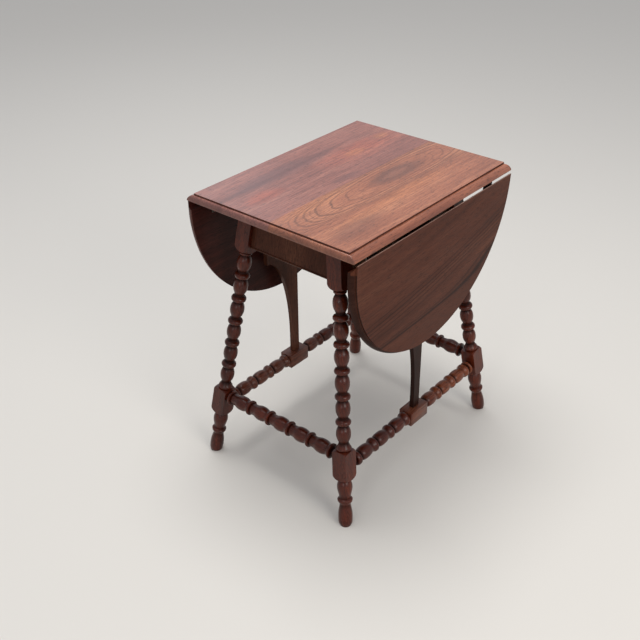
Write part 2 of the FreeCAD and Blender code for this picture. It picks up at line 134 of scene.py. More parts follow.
# %% [markdown]
# ## Writing a finish as sums
#
# A wood pattern is a sum of noises, and wiring each sum by hand hides it. The class below wraps a
# number socket, so that `bands * 0.6 + fibres * 0.4` adds the Math nodes by itself. Every other node
# comes from one method, which takes its type, its settings and the values or links of its inputs.

# %% Finishes
class Number:
    """A number in a finish, on which Python's own signs can be used."""

    def __init__(self, finish, socket):
        self.finish = finish
        self.socket = socket

    def combine(self, operation, first, second):
        socket = self.finish.add("ShaderNodeMath", {"operation": operation}, {0: first, 1: second})
        return Number(self.finish, socket)

    def __add__(self, other):
        return self.combine("ADD", self, other)

    def __sub__(self, other):
        return self.combine("SUBTRACT", self, other)

    def __rsub__(self, other):
        return self.combine("SUBTRACT", other, self)

    def __mul__(self, other):
        return self.combine("MULTIPLY", self, other)

    def __truediv__(self, other):
        return self.combine("DIVIDE", self, other)

    def __pow__(self, other):
        return self.combine("POWER", self, other)

    __radd__ = __add__
    __rmul__ = __mul__

    def absolute(self):
        return self.combine("ABSOLUTE", self, 0)

    def between(self, low, high):
        """0 below low, 1 above high, with a soft rise between them."""
        settings = {"interpolation_type": "SMOOTHSTEP"}
        inputs = {"Value": self, "From Min": low, "From Max": high}
        return Number(self.finish, self.finish.add("ShaderNodeMapRange", settings, inputs))


class Finish:
    """One material, and the method that makes any node in it."""

    def __init__(self, name):
        self.material = bpy.data.materials.new(name)
        self.material.use_nodes = True
        self.tree = self.material.node_tree
        self.tree.nodes.clear()

    def add(self, kind, settings=None, inputs=None, output=0):
        node = self.tree.nodes.new(kind)
        for key, value in (settings or {}).items():
            setattr(node, key, value)
        for key, value in (inputs or {}).items():
            if isinstance(value, Number):
                value = value.socket
            if isinstance(value, bpy.types.NodeSocket):
                self.tree.links.new(value, node.inputs[key])
            else:
                node.inputs[key].default_value = value
        return node.outputs[output]

    def noise(self, point, waves, detail=2.0, roughness=0.5):
        """Noise with its own number of waves per metre along each axis."""
        scaled = self.add("ShaderNodeVectorMath", {"operation": "MULTIPLY"}, {0: point, 1: waves})
        inputs = {"Vector": scaled, "Scale": 1.0, "Detail": detail, "Roughness": roughness}
        return Number(self, self.add("ShaderNodeTexNoise", {}, inputs, "Fac"))

    def mix(self, factor, first, second):
        """Colour between two others. Numbers 6, 7 and 2 are the node's colour sockets."""
        inputs = {"Factor": factor, 6: first, 7: second}
        return self.add("ShaderNodeMix", {"data_type": "RGBA"}, inputs, 2)

    def surface(self, inputs):
        shader = self.add("ShaderNodeBsdfPrincipled", {}, inputs)
        output = self.tree.nodes.new("ShaderNodeOutputMaterial")
        self.tree.links.new(shader, output.inputs["Surface"])
        return self.material


def tone(red, green, blue):
    """Colour from the 0 to 255 numbers of a paint card, as light amounts."""
    return [((value / 255 + 0.055) / 1.055) ** 2.4 for value in (red, green, blue)] + [1.0]


# %% [markdown]
# ## Wood
#
# A board shows four things at once. Growth rings make slow bands, and lines where each year ended.
# Fibres make fine streaks along the board, and pores make tiny dark dashes. Rings are a distance from
# the heart of the tree, so one number per point, its distance, drives every band. In a straight-grained
# board that is little more than the distance across it, and the other figures below are other
# distances. Blushes of another tone, which old varnish brings out, lie under the fibres.
#
# Each noise has its own number of waves per metre across the board, along it and into it. Drift and
# shiver push the rings about by a few millimetres, as knots and seasons do.

# %% Wood
DRIFT_WAVES = (7, 1.6, 7)
SHIVER_WAVES = (55, 9, 55)
SLOW_RING_WAVES = (42, 1, 1)
YEAR_WAVES = (170, 1, 1)
BROAD_WAVES = (11, 3.0, 11)
FIBRE_WAVES = (340, 13, 340)
PORE_WAVES = (900, 65, 900)
WEAR_WAVES = (38, 14, 38)
DRIFT_REACH = 0.018
SHIVER_REACH = 0.0038
SLANT = 0.35
MOULD_EDGE = 0.0045
ARRIS = 0.0015


def straight(across, along, deep):
    """Distance from the heart in a plain sawn board, and the share of its width that a line keeps."""
    return across + along * 0.02 + deep * SLANT, 1


def wood(name, tones, turn=(0, 0, 0), where=(0, 0, 0), figure=straight, lines=0.5, gloss=0.34, coat=0.2,
         shine=0.5, marks=(), blushes=(), fibre=0.5, soft=0.2, turned=False, worn_lit_edge=None, shaded_end=None):
    """Varnished wood. Its grain runs along Y of the point that the mapping gives.

    Each mark is one strong ring line: its distance, half width and strength. Each blush is a soft patch:
    its place across and along, half width, half length, tone and strength. A worn lit edge is the place
    of a rubbed arris across the board, and its tone, lighter for wear and for a painted highlight. A
    shaded end is the place along the board where painted shade darkens the lower end moulding.
    """
    dark, middle, light = tones
    black = [value * 0.3 for value in dark[:3]] + [1.0]
    finish = Finish(name)
    point = finish.add("ShaderNodeTexCoord", {}, {}, "Object")
    point = finish.add("ShaderNodeMapping", {}, {"Vector": point, "Location": where, "Rotation": turn})
    axes = finish.add("ShaderNodeSeparateXYZ", {}, {0: point}).node
    across, along, deep = [Number(finish, axes.outputs[i]) for i in range(3)]

    drift = finish.noise(point, DRIFT_WAVES, detail=3) - 0.5
    shiver = finish.noise(point, SHIVER_WAVES) - 0.5
    distance, slim = figure(across, along, deep)
    ring = distance + drift * DRIFT_REACH + shiver * SHIVER_REACH
    ring_point = finish.add("ShaderNodeCombineXYZ", {}, {0: ring, 1: along * 0.02, 2: 0.0})
    slow = finish.noise(ring_point, SLOW_RING_WAVES)
    year = finish.noise(ring_point, YEAR_WAVES)
    broad = finish.noise(point, BROAD_WAVES, detail=3)
    fibres = finish.noise(point, FIBRE_WAVES, detail=4, roughness=0.62)
    pores = finish.noise(point, PORE_WAVES, detail=1).between(0.57, 0.68)

    level = slow * 1.1 + broad * 1.0 - 0.55
    lower = finish.mix(level.between(0.10, 0.52), dark, middle)
    colour = finish.mix(level.between(0.45, 0.90), lower, light)
    for x, y, wide, long, tint, strength in blushes:
        away = ((across - x) / wide) ** 2 + ((along - y) / long) ** 2 + drift * 2.2 + shiver * 0.8
        colour = finish.mix((1 - away.between(0.0, 1.2)) * strength, colour, tint)
    colour = finish.mix((1 - fibres.between(0.36, 0.60)) * fibre, colour, dark)
    year_line = (1 - year.between(0.34, 0.45)) * lines
    colour = finish.mix(year_line, colour, dark)
    for centre, width, strength in marks:
        off = (ring - centre).absolute() / slim
        colour = finish.mix((1 - off.between(width * 0.2, width)) * strength, colour, black)
    colour = finish.mix(pores * 0.6, colour, black)

    wear = finish.noise(point, WEAR_WAVES, detail=3)
    rough = fibres * 0.16 + wear * 0.18 + (gloss - 0.17)
    # Painted shade in the grooves: where the turning doesn't stand out, the wood is darkened and its coat
    # dulled.
    if turned:
        proud = Number(finish, finish.add("ShaderNodeAttribute", {"attribute_name": "proud"}, {}, "Fac"))
        colour = finish.mix((1 - proud) * 0.8, colour, black)
        rough = rough + (1 - proud) * 0.2
        coat = proud * coat
    # Painted shade: the lower, down-turned part of the end moulding is darkened.
    if shaded_end:
        end_shade = along.absolute().between(shaded_end - MOULD_EDGE, shaded_end)
        colour = finish.mix(end_shade * 0.5, colour, black)
    # Worn top arris, lighter for wear and for a painted highlight.
    if worn_lit_edge:
        edge, worn_lit_tone = worn_lit_edge
        colour = finish.mix(across.between(edge - ARRIS, edge) * (0.2 + wear), colour, worn_lit_tone)
    relief = fibres * 0.5 - pores * 0.8 - year_line * 0.3
    bump = finish.add("ShaderNodeBump", {}, {"Strength": 0.15, "Distance": 0.0004, "Height": relief})
    return finish.surface({
        "Base Color": colour, "Roughness": rough, "Normal": bump, "IOR": 1.5, "Specular IOR Level": shine,
        "Coat Weight": coat, "Coat Roughness": soft,
    })


# %% [markdown]
# The right board was cut near the heart of the tree, so its rings close round an eye. A length along
# the grain counts for about a seventh of one across it, which stretches the rings into the nested
# arches of a cathedral figure. The strongest arches have their distances from the eye written here. A
# step runs round the top above its moulding, and its face is painted darker, as painted shade with
# some dirt.

# %% Wood for the top
EYE_ACROSS = 0.053
EYE_ALONG = 0.068
EYE_SQUEEZE = 0.155
ARCH_POWER = 2.7


def cathedral(across, along, deep):
    """Distance from the eye of a cathedral figure, whose lines slim down at the arches' tips."""
    x = (across - EYE_ACROSS).absolute()
    y = ((along - EYE_ALONG) * EYE_SQUEEZE).absolute()
    distance = (x ** ARCH_POWER + y ** ARCH_POWER) ** (1 / ARCH_POWER)
    return distance + deep * SLANT, x / distance * 0.6 + 0.45


ARCHES = (
    (0.0180, 0.0011, 0.25), (0.0245, 0.0012, 0.38), (0.0320, 0.0015, 0.50), (0.0392, 0.0016, 0.52),
    (0.0418, 0.0010, 0.30), (0.0445, 0.0014, 0.46), (0.0478, 0.0014, 0.42), (0.0505, 0.0010, 0.34),
    (0.0540, 0.0010, 0.28),
)
HONEY = tone(196, 124, 80)
SHADE = tone(104, 68, 58)
EMBER = tone(182, 82, 52)
PLUM = tone(104, 70, 70)
TOP_FACE = (0, 0, -TOP_HEIGHT * MM)
# Place along the top where painted shade on the lower end moulding is at its full strength.
MOULD_SHADE = 0.2615
RIGHT_BOARD = wood(
    "top_right_board_wood", (tone(108, 56, 38), tone(164, 100, 72), tone(188, 124, 90)),
    where=TOP_FACE, figure=cathedral, lines=0.25, coat=0.4, marks=ARCHES, shaded_end=MOULD_SHADE,
    blushes=((0.118, -0.02, 0.020, 0.19, HONEY, 0.5), (0.020, -0.16, 0.022, 0.14, HONEY, 0.6),
             (0.145, -0.17, 0.030, 0.09, SHADE, 0.45), (0.052, 0.070, 0.025, 0.085, SHADE, 0.70),
             (0.052, 0.070, 0.010, 0.040, tone(152, 98, 78), 0.55)),
)
LEFT_BOARD = wood(
    "top_left_board_wood", (tone(98, 56, 50), tone(150, 94, 82), tone(168, 112, 96)),
    where=TOP_FACE, lines=0.2, fibre=0.6, coat=0.4, shaded_end=MOULD_SHADE,
    blushes=((-0.085, 0.14, 0.045, 0.16, EMBER, 0.42), (-0.080, 0.105, 0.016, 0.04, HONEY, 0.5),
             (-0.096, 0.215, 0.016, 0.03, HONEY, 0.6), (-0.130, -0.06, 0.026, 0.18, PLUM, 0.6),
             (-0.075, -0.18, 0.022, 0.06, EMBER, 0.4), (-0.012, -0.01, 0.012, 0.06, PLUM, 0.5)),
)
# The step over the moulding is painted darker: painted shade in the quirk, with some dirt.
STEP_SHADE_AND_DIRT_TONES = (tone(60, 32, 25), tone(86, 50, 41), tone(100, 63, 52))
STEP_SHADE_AND_DIRT = wood("shaded_dirty_step_wood", STEP_SHADE_AND_DIRT_TONES, coat=0.0, shine=0.1)
print("wood finishes for the top are ready")

# %% [markdown]
# The leaves are darker and browner, with lines that sweep upwards along the board and one bold dark
# streak. They hang, so their width is Z here and has to be turned into the board's own across
# direction. Handling has bared the wood along their top arris, and a painted highlight lightens it
# further. The moulded rims have a tone of their own, and on the right leaf it is darker, as painted
# shade. The turned wood is cut from straight redder stock, each leg's stock leans with the leg, and
# the right side stretcher turns orange towards the back.

# %% Wood for the leaves
def swept(across, along, deep):
    """Distance from the heart where the grain sweeps up along the board, less so at its lower edge."""
    run = along + SWEEP_START
    lower = across.between(0.38, 0.48) * 0.85 + 0.15
    return across - run * (run * 0.24 + 0.06) * lower + deep * SLANT, 1


QUARTER = math.pi / 2
SWEEP_START = 0.223
HANGING = (0, QUARTER, 0)
RIGHT_LEAF_PLACE = (0, 0, 0.2085)
LEFT_LEAF_PLACE = (0.1, 0.2, 0.1)
LEAF_ARRIS = 0.6148
# Tone of the worn top arris of the leaves, with a painted highlight in it.
WORN_HIGHLIGHT_TONE = tone(168, 138, 126)
SWEPT_LINES = (
    (0.3970, 0.0036, 0.80), (0.4035, 0.0020, 0.50), (0.4275, 0.0022, 0.45), (0.4380, 0.0024, 0.58),
    (0.4475, 0.0024, 0.62), (0.4565, 0.0024, 0.62), (0.4670, 0.0024, 0.54), (0.4900, 0.0018, 0.36),
)
RIGHT_LEAF = wood(
    "right_leaf_wood", (tone(62, 31, 21), tone(82, 44, 31), tone(96, 56, 40)), turn=HANGING,
    where=RIGHT_LEAF_PLACE, figure=swept, lines=0.35, coat=0.0, shine=0.06, marks=SWEPT_LINES,
    worn_lit_edge=(LEAF_ARRIS, WORN_HIGHLIGHT_TONE),
)
# The right leaf's rim is a darker copy of its wood: painted shade, where the rim faces down and away from
# the light.
RIGHT_SHADED_RIM = wood(
    "right_leaf_rim_shaded_wood", (tone(36, 18, 13), tone(50, 27, 20), tone(62, 36, 27)), turn=HANGING,
    where=RIGHT_LEAF_PLACE, figure=swept, coat=0.0, shine=0.06,
)
LEFT_RIM = wood(
    "left_leaf_rim_wood", (tone(50, 24, 18), tone(84, 44, 36), tone(104, 60, 48)), turn=HANGING,
    where=LEFT_LEAF_PLACE, coat=0.0, shine=0.1,
)
LEFT_LEAF = wood(
    "left_leaf_wood", (tone(36, 15, 12), tone(58, 26, 21), tone(74, 35, 28)), turn=HANGING,
    where=LEFT_LEAF_PLACE, lines=0.45, coat=0.0, shine=0.1,
    worn_lit_edge=(LEAF_ARRIS + LEFT_LEAF_PLACE[0], WORN_HIGHLIGHT_TONE),
)
print("wood finishes for the leaves are ready")

# %% Wood for the turnings
TURNED = {"lines": 0.3, "gloss": 0.30, "coat": 0.4, "soft": 0.3, "shine": 0.1, "turned": True}
STOCK_TONES = (tone(38, 12, 6), tone(76, 27, 13), tone(112, 47, 25))


def leg_wood(end, side):
    """Wood whose grain follows one leaning leg."""
    lean = (QUARTER + math.atan(SPLAY[1]) * ENDS[end], 0, math.atan(SPLAY[0]) * SIDES[side])
    shift = (0.2 * SIDES[side], 0.3 * ENDS[end], 0)
    return wood(f"leg_wood_{end}_{side}", STOCK_TONES, turn=lean, where=shift, **TURNED)


SIDE_STOCK = wood(
    "side_stretcher_wood", STOCK_TONES, where=(0.1, 0.7, 0),
    blushes=((0.2728, 0.865, 0.05, 0.13, tone(146, 78, 46), 0.6),
             (0.2728, 0.70, 0.04, 0.04, tone(118, 72, 52), 0.6),
             (-0.0728, 0.66, 0.04, 0.16, tone(112, 66, 50), 0.6)), **TURNED,
)
END_STOCK = wood("end_stretcher_wood", STOCK_TONES, turn=(0, 0, QUARTER), **TURNED)

# %% Wood for the flat pieces
DRY = {"lines": 0.4, "coat": 0.0, "shine": 0.08}
BARE = {"lines": 0.3, "gloss": 0.6, "coat": 0.0}
UPRIGHT = (QUARTER, 0, 0)
APRON_WOOD = wood("apron_wood", (tone(46, 24, 16), tone(72, 40, 28), tone(88, 53, 38)),
                  turn=(0, QUARTER, QUARTER), **DRY)
SUPPORT_WOOD = wood("support_wood", (tone(54, 29, 19), tone(84, 48, 34), tone(100, 62, 45)),
                    turn=UPRIGHT, gloss=0.36, **DRY)
# The right support is a darker copy of the support wood: painted shade, where it stands behind the hanging
# leaf.
SHADED_SUPPORT_WOOD = wood("shaded_support_wood", (tone(26, 12, 9), tone(44, 23, 17), tone(58, 34, 26)),
                         turn=UPRIGHT, gloss=0.36, **DRY)
INNER_TONES = (tone(84, 58, 40), tone(120, 88, 62), tone(142, 108, 78))
RAIL_WOOD = wood("rail_wood", INNER_TONES, turn=HANGING, **BARE)
BLOCK_WOOD = wood("glue_block_wood", INNER_TONES, where=(0.5, 0.1, 0), **BARE)

# %% [markdown]
# ## Old steel
#
# The hinges are stamped steel, browned by age. Small differences in shine, from handling and light
# rust, do more for it than its colour does.

# %% Steel
CLOUD_WAVES = (160, 160, 160)
SPECK_WAVES = (900, 900, 900)


def steel(name, base, rusty):
    """Dull steel with clouds of brown rust, as strong as rusty says."""
    finish = Finish(name)
    point = finish.add("ShaderNodeTexCoord", {}, {}, "Object")
    cloud = finish.noise(point, CLOUD_WAVES, detail=4, roughness=0.6)
    speck = finish.noise(point, SPECK_WAVES).between(0.58, 0.70)
    stain = cloud.between(0.48, 0.72)
    colour = finish.mix(stain * rusty, base, tone(92, 54, 34))
    relief = cloud + speck * 0.3
    bump = finish.add("ShaderNodeBump", {}, {"Strength": 0.15, "Distance": 0.0003, "Height": relief})
    return finish.surface({
        "Base Color": colour, "Metallic": 1 - stain * (rusty * 0.7),
        "Roughness": cloud * 0.3 + stain * 0.25 + 0.22, "Normal": bump,
    })


HINGE_STEEL = steel("hinge_steel", tone(112, 106, 100), 0.8)
SCREW_STEEL = steel("screw_steel", tone(140, 132, 120), 0.5)

# %% [markdown]
# ## Turned wood
#
# A turner starts from square stock, leaves it square where joints will be cut, and rounds the rest. The
# same order works here: spin an outline that is too wide at the squares, then plane the four faces of
# the stock. The plane leaves the curved shoulders at each square that real turned legs have.
#
# Between the squares a pattern repeats: a sharp groove, a narrow rim, a shallow saddle and a long bead.
# Each table below is one such unit, for the legs, the end stretchers and the side stretchers. Its pairs
# are a share of the unit's length and a share of its swell, from 0 at the neck to 1 at the crest of the
# bead. The patterns aren't the same from both ends, so each one has a direction.

# %% Outlines for turning
LEG_UNIT = (
    (0.000, 0.02), (0.012, 0.04), (0.022, 0.60), (0.040, 0.86), (0.070, 1.04), (0.100, 1.12),
    (0.122, 1.14), (0.145, 1.12), (0.170, 1.04), (0.192, 0.89), (0.210, 0.68), (0.228, 0.40),
    (0.250, 0.14), (0.280, 0.05), (0.308, 0.08), (0.350, 0.24), (0.400, 0.47), (0.450, 0.68),
    (0.510, 0.86), (0.570, 0.96), (0.640, 1.00), (0.710, 0.98), (0.770, 0.90), (0.825, 0.75),
    (0.875, 0.54), (0.915, 0.33), (0.950, 0.15), (0.972, 0.05), (0.988, 0.02),
)
END_UNIT = (
    (0.000, 0.05), (0.012, 0.05), (0.020, 0.88), (0.030, 1.05), (0.045, 1.09), (0.075, 1.09),
    (0.095, 1.02), (0.120, 0.84), (0.150, 0.62), (0.185, 0.48), (0.220, 0.46), (0.270, 0.58),
    (0.330, 0.79), (0.400, 0.94), (0.460, 0.99), (0.510, 1.00), (0.570, 0.965), (0.630, 0.86),
    (0.680, 0.71), (0.730, 0.53), (0.780, 0.40), (0.840, 0.34), (0.910, 0.32), (0.960, 0.28),
    (0.985, 0.12),
)
SIDE_UNIT = (
    (0.000, 0.00), (0.100, 0.00), (0.120, 0.22), (0.150, 0.50), (0.205, 0.78), (0.270, 0.93),
    (0.345, 0.99), (0.415, 1.00), (0.485, 0.98), (0.550, 0.89), (0.610, 0.73), (0.660, 0.55),
    (0.700, 0.43), (0.740, 0.41), (0.785, 0.52), (0.825, 0.74), (0.860, 0.98), (0.885, 1.10),
    (0.910, 1.137), (0.970, 1.137), (0.985, 1.05), (0.993, 0.60),
)


def part_of(unit, low, high=1.0):
    """Pairs of a unit from one share of its length to another."""
    return [(share, swell) for share, swell in unit if low <= share <= high]


def along_unit(unit, start, pitch, neck, crest):
    """Places the pairs of a unit on a turning, as stations and radii."""
    return [(start + share * pitch, neck + swell * (crest - neck)) for share, swell in unit]


def turned_row(unit, start, count, pitch, neck, crest):
    """Outline of like units in a row, each from its groove to the next one."""
    outline = []
    for index in range(count):
        outline += along_unit(unit, start + index * pitch, pitch, neck, crest)
    return outline


def ring(start, end, neck, crest, steps=8):
    """Outline of a half-round ring, from a neck over its crest to the next neck."""
    outline = []
    for step in range(steps + 1):
        turn = math.pi * step / steps
        share = (1 - math.cos(turn)) / 2
        outline.append((start + share * (end - start), neck + math.sin(turn) * (crest - neck)))
    return outline


def shoulder(neck_station, square_station, neck, corner, steps=6):
    """Quarter round from a neck out to the corner of the square stock."""
    outline = []
    for step in range(steps + 1):
        turn = QUARTER * step / steps
        station = neck_station + (square_station - neck_station) * (1 - math.cos(turn))
        outline.append((station, neck + math.sin(turn) * (corner - neck)))
    return outline


# %% Lathe
LATHE_STEPS = 48
GROOVE_RADIUS = 10.2
PROUD_RADIUS = 13.0


def lathe(outline):
    """Solid of an outline of (station, radius) pairs, spun about its own Z."""
    bm = bmesh.new()
    points = [(outline[0][0], 0.0)] + outline + [(outline[-1][0], 0.0)]
    verts = [bm.verts.new((radius, 0, station)) for station, radius in points]
    edges = [bm.edges.new(pair) for pair in zip(verts, verts[1:])]
    bmesh.ops.spin(bm, geom=verts + edges, cent=(0, 0, 0), axis=(0, 0, 1), angle=2 * math.pi,
                   steps=LATHE_STEPS, use_merge=True)
    bmesh.ops.remove_doubles(bm, verts=bm.verts, dist=WELD / 2)
    bmesh.ops.recalc_face_normals(bm, faces=bm.faces)
    return bm


def mark_grooves(bm):
    """Writes at each point how far it stands out. Where it doesn't, painted shade darkens the wood."""
    proud = bm.verts.layers.float.new("proud")
    for vert in bm.verts:
        radius = math.hypot(vert.co.x, vert.co.y)
        vert[proud] = min(1.0, max(0.0, (radius - GROOVE_RADIUS) / (PROUD_RADIUS - GROOVE_RADIUS)))


# %% [markdown]
# ## Legs
#
# From the floor up, each leg has a small barrel foot, a rim, a bead, a square block for the stretchers,
# six beads with a rim below each, a last rim, and the square head for the aprons. Its axis leans both
# ways, while two faces of its stock stay square to the ends of the table. The outline runs past the
# floor and the underside of the top, where both ends are planed level once the leg leans. Its numbers
# are stations up the leg's axis and radii.

# %% Leg outline
HALF = LEG_SQUARE / 2
CORNER = HALF * math.sqrt(2) + 0.2
OVERRUN = 30.0
LEG_NECK = 9.5
LEG_CREST = 15.2
LEG_PITCH = 55.6
LEG_ROW = 5
FOOT_END = 106.5
BLOCK_START = 119.0
BLOCK_END = 168.0
COLLAR_START = 175.0
COLLAR_NECK = 11.4
FIRST_GROOVE = 175.2
LEG_SADDLE = 0.28
LAST_RIM = (508.9, 515.2)
LAST_RIM_CREST = 13.3
HEAD_NECK = 515.9
HEAD_START = 530.0
FOOT_OUTLINE = [
    (-OVERRUN, 11.9), (0, 11.9), (2, 13.3), (4.5, 14.2), (8, 14.7), (13, 15.0), (19, 15.1), (25, 14.9),
    (30, 14.5), (35, 13.7), (40, 12.7), (44, 11.9), (47, 11.5), (49.5, 11.7), (51.5, 12.6), (54, 14.2),
    (56, 15.3), (58, 15.8), (60, 15.9), (60.8, 15.6), (61.6, 14.6), (62.6, 12.8), (63.6, 11.6),
    (67, 12.0), (71, 12.8), (76, 14.0), (82, 15.3), (87, 15.9), (92, 15.9), (96.5, 15.1), (100.5, 13.8),
    (103.5, 12.3), (105.5, 11.0),
]
COLLAR_OUTLINE = [
    (175.2, 11.6), (175.6, 13.6), (176.6, 15.1), (178.2, 15.6), (180.2, 15.5), (181.8, 14.9),
    (184.0, 13.4), (186.4, 11.9), (188.6, 11.1),
]


def leg_outline():
    outline = FOOT_OUTLINE + shoulder(FOOT_END, BLOCK_START, LEG_NECK, CORNER)
    outline += reversed(shoulder(COLLAR_START, BLOCK_END, COLLAR_NECK, CORNER))
    outline += COLLAR_OUTLINE
    outline += along_unit(part_of(LEG_UNIT, LEG_SADDLE), FIRST_GROOVE, LEG_PITCH, LEG_NECK, LEG_CREST)
    outline += turned_row(LEG_UNIT, FIRST_GROOVE + LEG_PITCH, LEG_ROW, LEG_PITCH, LEG_NECK, LEG_CREST)
    outline += ring(*LAST_RIM, LEG_NECK, LAST_RIM_CREST)
    outline += shoulder(HEAD_NECK, HEAD_START, LEG_NECK, CORNER)
    return outline + [(TOP_HEIGHT + OVERRUN, CORNER)]


# %% Legs
def leg_place(end, side):
    """Matrix of a leg's own frame: Z up its axis, and Y square to the end of the table."""
    x, y = SIDES[side], ENDS[end]
    axis = Vector((-x * SPLAY[0], -y * SPLAY[1], 1)).normalized()
    across = (Vector((1, 0, 0)) - axis * axis.x).normalized()
    square = axis.cross(across)
    columns = Matrix((across, square, axis)).transposed().to_4x4()
    return Matrix.Translation((x * FOOT[0], y * FOOT[1], 0)) @ columns


for end in ENDS:
    for side in SIDES:
        leg = lathe(leg_outline())
        for outwards in ((1, 0, 0), (-1, 0, 0), (0, 1, 0), (0, -1, 0)):
            cut_flat(leg, Vector(outwards) * HALF, outwards)
        mark_grooves(leg)
        bmesh.ops.transform(leg, matrix=leg_place(end, side), verts=leg.verts)
        cut_flat(leg, (0, 0, 0), (0, 0, -1))
        cut_flat(leg, (0, 0, UNDERSIDE), (0, 0, 1))
        name = f"leg_{end}_{side}"
        piece = finished(leg, "turned_" + name, "frame", [name], leg_wood(end, side))
print("a leg has", len(piece.data.polygons), "faces")

# %% [markdown]
# ## Stretchers
#
# The stretchers are turned from thinner stock, to patterns of their own, with narrower rims and longer
# necks than the legs have. The pattern runs from right to left on the end stretchers and from front to
# back on the side ones, which also keep a square block in the middle, on which a leaf support stands.
# All ends narrow to round tenons inside the legs.

# %% Stretcher outlines
TENON = 7.5
TENON_LENGTH = 20.0
TENON_SHARE = 0.2
BLOCK_HALF = 16.2
BLOCK_HALF_LENGTH = 30.3
BLOCK_EASE = 0.6
END_FACE = FOOT[0] - SPLAY[0] * END_STRETCHER_HEIGHT - HALF
END_NECK = 10.6
END_CREST = 16.0
END_ROW = 5
END_INSET = 12.0
END_RIM = (0.020, 0.185)
SIDE_FACE = FOOT[1] - SPLAY[1] * SIDE_STRETCHER_HEIGHT - HALF
SIDE_NECK = 9.9
SIDE_CREST = 15.0
SIDE_ROW = 3
SIDE_INSET = 26.5
SIDE_LEAD = 0.08
SIDE_RIM = 0.825
BLOCK_GAP = 6.0
BACK_RING = (13.5, 6.5)
BACK_RING_CREST = 15.7


def end_stretcher_outline():
    """From the right leg to the left one: five units, and the rim of a sixth at the left leg."""
    half = END_FACE - END_INSET
    pitch = 2 * half / END_ROW
    outline = [(-END_FACE - TENON_LENGTH, TENON), (-half, TENON)]
    outline += along_unit(part_of(END_UNIT, END_RIM[0]), -half, pitch, END_NECK, END_CREST)
    outline += turned_row(END_UNIT, pitch - half, END_ROW - 1, pitch, END_NECK, END_CREST)
    outline += along_unit(part_of(END_UNIT, 0.0, END_RIM[1]), half, pitch, END_NECK, END_CREST)
    return outline + [(half + TENON_SHARE * pitch, TENON), (END_FACE + TENON_LENGTH, TENON)]


def side_stretcher_outline():
    """From the front leg to the back one: a rim, three units, the block, three units and a ring."""
    run = SIDE_FACE - BLOCK_HALF_LENGTH - SIDE_INSET
    pitch = run / SIDE_ROW
    front = SIDE_LEAD * pitch - BLOCK_HALF_LENGTH - BLOCK_GAP - run
    back = SIDE_LEAD * pitch + BLOCK_HALF_LENGTH
    outline = [(-SIDE_FACE - TENON_LENGTH, TENON), (front - TENON_SHARE * pitch, TENON)]
    outline += along_unit(part_of(SIDE_UNIT, SIDE_RIM), front - pitch, pitch, SIDE_NECK, SIDE_CREST)
    for start in (front, back):
        outline += turned_row(SIDE_UNIT, start, SIDE_ROW, pitch, SIDE_NECK, SIDE_CREST)
        outline += [(start + run, SIDE_NECK)]
    outline += ring(SIDE_FACE - BACK_RING[0], SIDE_FACE - BACK_RING[1], SIDE_NECK, BACK_RING_CREST)
    return outline + [(SIDE_FACE - BACK_RING[1] + 0.1, TENON), (SIDE_FACE + TENON_LENGTH, TENON)]


# %% Stretchers
def lay_level(bm, spot, axis):
    """Tips what was spun about Z over about another axis, and moves its middle to a spot."""
    lay = Matrix.Translation(spot) @ Matrix.Rotation(-QUARTER, 4, axis)
    bmesh.ops.transform(bm, matrix=lay, verts=bm.verts)


for end, y in ENDS.items():
    stretcher = lathe(end_stretcher_outline())
    mark_grooves(stretcher)
    out = FOOT[1] - SPLAY[1] * END_STRETCHER_HEIGHT
    lay_level(stretcher, (0, y * out, END_STRETCHER_HEIGHT), "Y")
    name = f"stretcher_{end}"
    finished(stretcher, "turned_" + name, "frame", [name], END_STOCK)

for side, x in SIDES.items():
    stretcher = lathe(side_stretcher_outline())
    size = Matrix.Diagonal((2 * BLOCK_HALF, 2 * BLOCK_HALF, 2 * BLOCK_HALF_LENGTH, 1))
    made = bmesh.ops.create_cube(stretcher, size=1.0, matrix=size)
    edges = list({edge for vert in made["verts"] for edge in vert.link_edges})
    bmesh.ops.bevel(stretcher, geom=edges, offset=BLOCK_EASE, segments=2, profile=0.5, affect="EDGES",
                    material=-1)
    mark_grooves(stretcher)
    out = FOOT[0] - SPLAY[0] * SIDE_STRETCHER_HEIGHT
    lay_level(stretcher, (x * out, 0, SIDE_STRETCHER_HEIGHT), "X")
    name = f"stretcher_{side}"
    finished(stretcher, "turned_" + name, "frame", [name], SIDE_STOCK)
print("four stretchers are turned")

# %% [markdown]
# ## The two boards of the top
#
# Each board is drawn as its section across the table and pushed along Y. Near the ends the same section
# is pushed in short steps, and each step presses down whatever stands above the end moulding. That
# gives the moulding, its mitre with the rounded side and the step above it from one rule.

# %% Top boards
MOULD_STEPS = 10
SIDE_STEPS = 14
STEP_RUN = 0.02


def quarter_points():
    """Points of the end moulding: inset from the end, and height over the underside."""
    turns = [QUARTER * step / MOULD_STEPS for step in range(MOULD_STEPS + 1)]
    return [(MOULD_WIDTH * (1 - math.sin(turn)), MOULD_DEPTH * math.cos(turn)) for turn in turns]


def side_section(side):
    """Points of a board's section, from the glue joint round over the moulded side and back."""
    start = math.asin(PIN_DROP / OVOLO)
    points = [(BOARD_JOINT, UNDERSIDE)]
    for step in range(SIDE_STEPS + 1):
        turn = start + (QUARTER - start) * step / SIDE_STEPS
        reach = TOP_HALF_WIDTH + OVOLO * math.cos(turn)
        points.append((side * reach, PIN_HEIGHT + OVOLO * math.sin(turn)))
    points.append((side * TOP_HALF_WIDTH, TOP_HEIGHT))
    points.append((BOARD_JOINT, TOP_HEIGHT))
    return points


